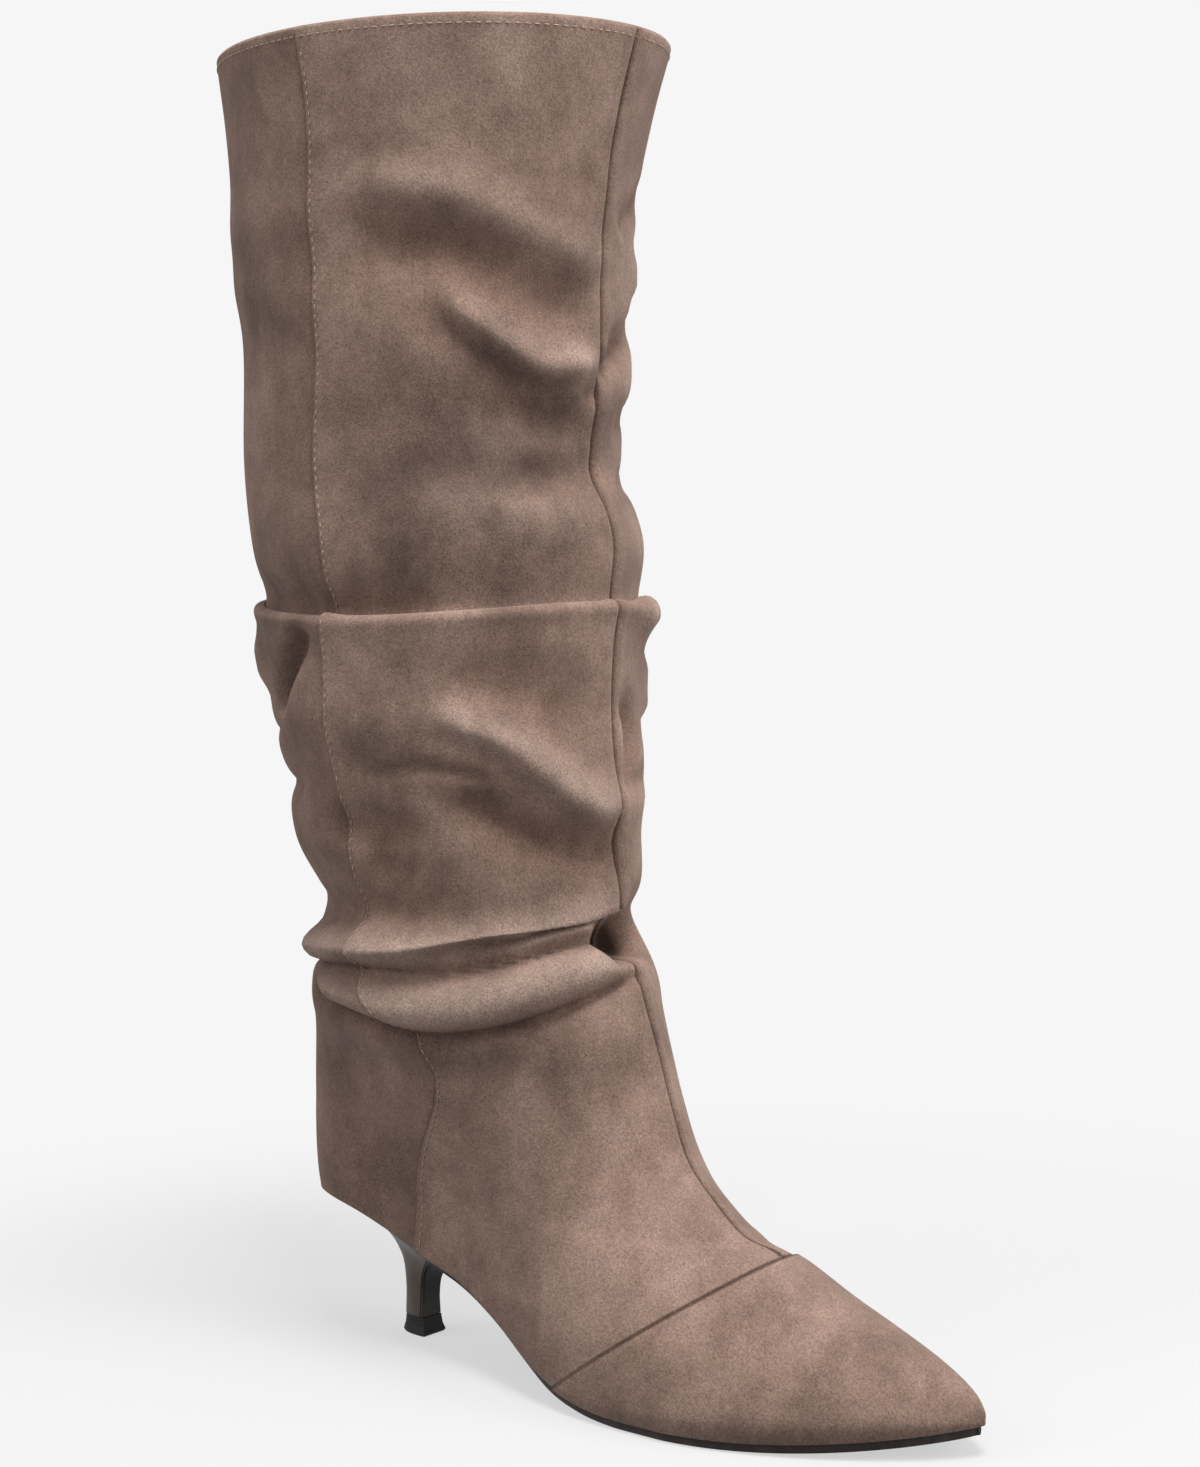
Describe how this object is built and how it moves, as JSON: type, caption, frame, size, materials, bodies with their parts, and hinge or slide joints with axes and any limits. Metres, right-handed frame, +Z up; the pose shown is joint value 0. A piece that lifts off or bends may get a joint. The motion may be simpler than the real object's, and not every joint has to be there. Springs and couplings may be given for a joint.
{
  "type": "slouch boot",
  "caption": "Knee-high slouch boot with a pointed toe, a slim kitten heel and soft folds round the shaft and ankle.",
  "frame": {"origin": "middle of the tread on the floor, on the last's centre line", "axes": "+X towards the toe, +Y towards the inner side of the foot, +Z up along the shaft"},
  "size_m": [0.2876, 0.1302, 0.429],
  "materials": {
    "suede": "taupe suede with a soft brushed nap",
    "sock_lining": "pale sock lining",
    "resin_sole": "dark smooth resin sole",
    "lacquer": "taupe lacquer",
    "top_piece": "dark top piece"
  },
  "bodies": {
    "root": {"upper": "suede", "insole": "sock_lining", "outsole": "resin_sole", "heel": "lacquer", "heel_tip": "top_piece"}
  },
  "joints": []
}
